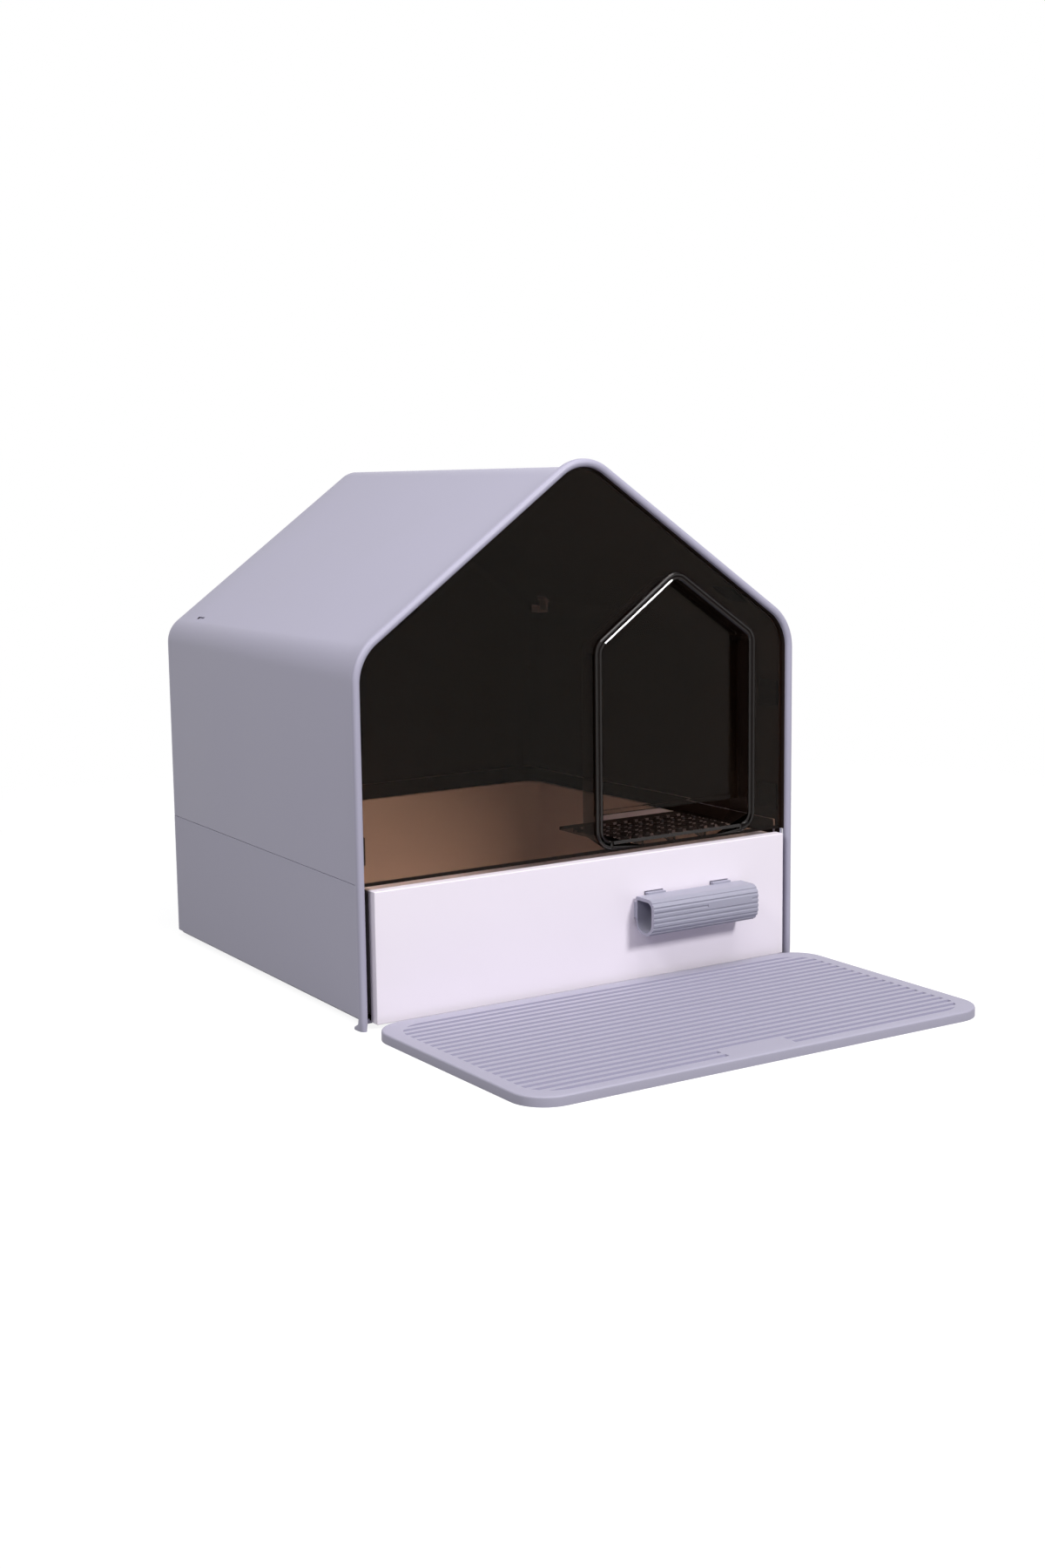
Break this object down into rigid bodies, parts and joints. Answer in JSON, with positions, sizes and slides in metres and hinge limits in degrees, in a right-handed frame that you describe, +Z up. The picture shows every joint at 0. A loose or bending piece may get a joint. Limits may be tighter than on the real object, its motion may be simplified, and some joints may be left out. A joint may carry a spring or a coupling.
{
  "type": "drawer litter box",
  "caption": "House-shaped covered litter box with a smoked front window and swing flap, a pull-out litter drawer, a lift-off hood and a ribbed floor mat in front.",
  "frame": {"origin": "on the floor, under the middle of the box that holds the litter box and its mat", "axes": "+Z up; the window, drawer front and mat face -Y; +X to the right for someone who looks at the front"},
  "size_m": [0.455, 0.672, 0.4616],
  "materials": {
    "hood_plastic": "satin moulded plastic, lilac grey",
    "smoked_plastic": "polished see-through smoked brown plastic",
    "drawer_plastic": "smooth white moulded plastic",
    "pull_plastic": "satin moulded plastic, lilac grey",
    "mat_plastic": "matte ribbed plastic, lilac grey",
    "foot_rubber": "matte rubber"
  },
  "bodies": {
    "base_unit": {"base": "hood_plastic", "foot_pads": "foot_rubber"},
    "hood_unit": {"hood": "hood_plastic", "front_frame": "hood_plastic", "front_window": "smoked_plastic", "door_collar": "smoked_plastic", "sill_grate": "smoked_plastic", "left_hook": "hood_plastic", "right_hook": "hood_plastic"},
    "flap": {"door_flap": "smoked_plastic"},
    "drawer": {"drawer_tray": "drawer_plastic", "drawer_front": "drawer_plastic", "drawer_pull": "pull_plastic"},
    "mat": {"floor_mat": "mat_plastic"}
  },
  "joints": [
    {"name": "hood_lift", "type": "slide", "parent": "base_unit", "child": "hood_unit", "axis": [0, 0, 1], "range_m": [0, 0.2]},
    {"name": "flap_swing", "type": "hinge", "parent": "hood_unit", "child": "flap", "pos_m": [0.099, -0.057, 0.297], "axis": [1, 0, 0], "range_deg": [-85, 85]},
    {"name": "drawer_slide", "type": "slide", "parent": "base_unit", "child": "drawer", "axis": [0, -1, 0], "range_m": [0, 0.33]},
    {"name": "mat_slide", "type": "slide", "parent": "base_unit", "child": "mat", "axis": [0, -1, 0], "range_m": [0, 0.33]}
  ],
  "couplings": [
    {"joint": "mat_slide", "follows": "drawer_slide", "ratio": 1}
  ]
}
